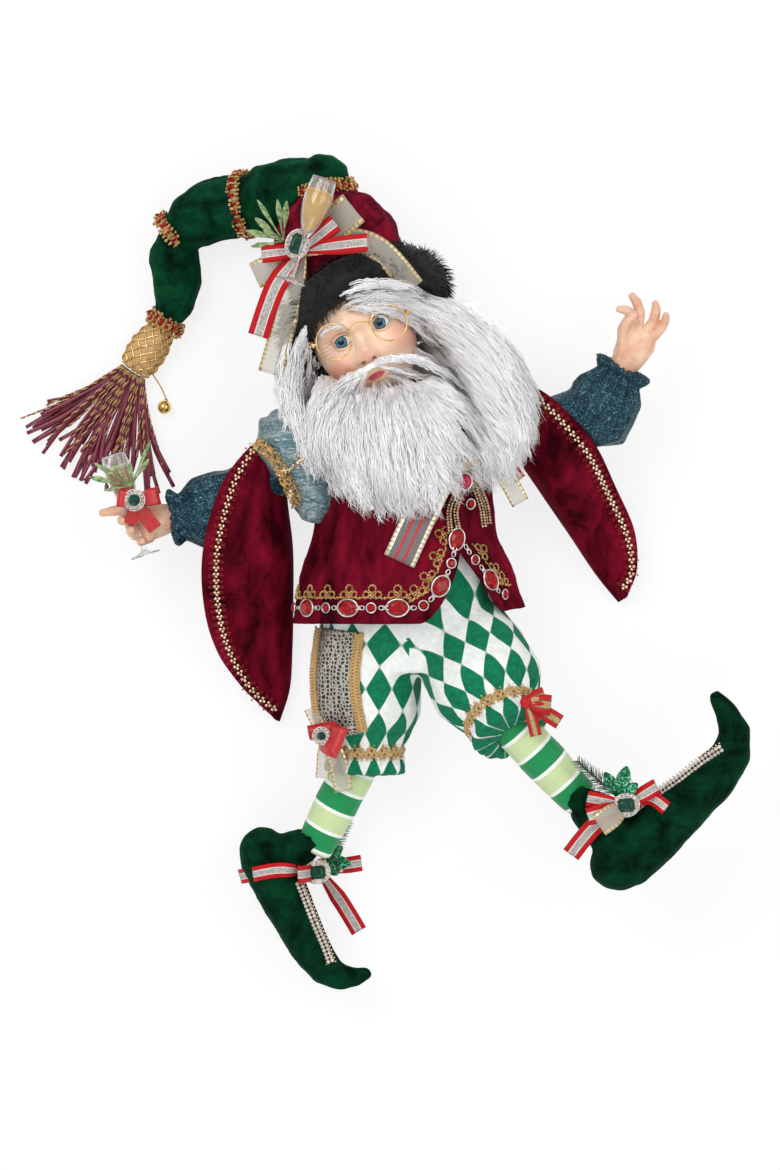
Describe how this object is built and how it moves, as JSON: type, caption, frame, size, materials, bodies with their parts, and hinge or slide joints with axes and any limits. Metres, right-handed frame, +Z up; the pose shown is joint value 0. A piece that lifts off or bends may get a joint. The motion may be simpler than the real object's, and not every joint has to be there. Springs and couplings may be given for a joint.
{
  "type": "elf doll",
  "caption": "Posed cloth elf figurine lying on its back, with a curled fur-brimmed hat, long beard, hanging sleeves, knee breeches and pointed shoes.",
  "frame": {"origin": "on the flat of the coat's back that rests on the floor, under the middle of the chest", "axes": "+Z up, away from the floor and out of the doll's front; +Y from the feet to the hat; +X towards the doll's left hand"},
  "size_m": [0.4446, 0.5046, 0.1203],
  "materials": {
    "green_velvet": "crushed velvet",
    "wine_velvet": "crushed velvet",
    "glitter": "glitter-coated cloth",
    "lame": "pleated metallic cloth",
    "harlequin": "green and white diamonds",
    "stripes": "green and cream stripes",
    "calico": "plain cotton over stuffing",
    "skin": "painted cast resin",
    "hair": "combed white wool",
    "fur": "long-pile fur cloth",
    "eye": "glossy, with a blue iris",
    "gold": "gold bead and braid trim",
    "red": "satin ribbon",
    "red_stone": "cut stones in silver settings",
    "green_stone": "cut stone with a border of small stones",
    "crystal": "small clear stones",
    "sheer": "sheer ribbon with gold edges",
    "leaves": "frosted leaves",
    "champagne": "clear cast resin, amber filling"
  },
  "bodies": {
    "root": {"beard": "hair", "bell": "gold", "breeches": "harlequin", "chest_jewels": "green_stone", "chest_ribbon": "sheer", "coat": "wine_velvet", "coat_hem_chain": "red_stone", "coat_hem_lace": "gold", "fur_brim": "fur", "hair": "hair", "hand_bow": "red", "hand_brooch": "green_stone", "hand_flute": "champagne", "hand_mistletoe": "leaves", "hat_bead_band_1": "gold", "hat_bead_band_2": "gold", "hat_bead_band_3": "gold", "hat_bead_band_4": "gold", "hat_brooch": "green_stone", "hat_crown": "wine_velvet", "hat_flute": "champagne", "hat_mistletoe": "leaves", "hat_organza_bow": "sheer", "hat_striped_bow": "red", "hat_tail": "green_velvet", "head": "skin", "left_armhole_trim": "gold", "left_eye": "eye", "left_hand": "skin", "left_inner_sleeve": "glitter", "left_knee_bow": "red", "left_knee_braid": "gold", "left_outer_sleeve": "wine_velvet", "left_shoe": "green_velvet", "left_shoe_beads": "crystal", "left_shoe_bow": "red", "left_shoe_sprig": "leaves", "left_shoulder_puff": "lame", "left_sleeve_beads": "gold", "left_stocking": "stripes", "moustache": "hair", "right_armhole_trim": "gold", "right_eye": "eye", "right_hand": "skin", "right_inner_sleeve": "glitter", "right_knee_bow": "red", "right_knee_braid": "gold", "right_outer_sleeve": "wine_velvet", "right_shoe": "green_velvet", "right_shoe_beads": "crystal", "right_shoe_bow": "red", "right_shoe_sprig": "leaves", "right_shoulder_puff": "lame", "right_sleeve_beads": "gold", "right_stocking": "stripes", "side_panel": "gold", "spectacles": "gold", "stuffed_body": "calico", "tassel_cap": "gold", "tassel_fringe": "wine_velvet"}
  },
  "joints": []
}
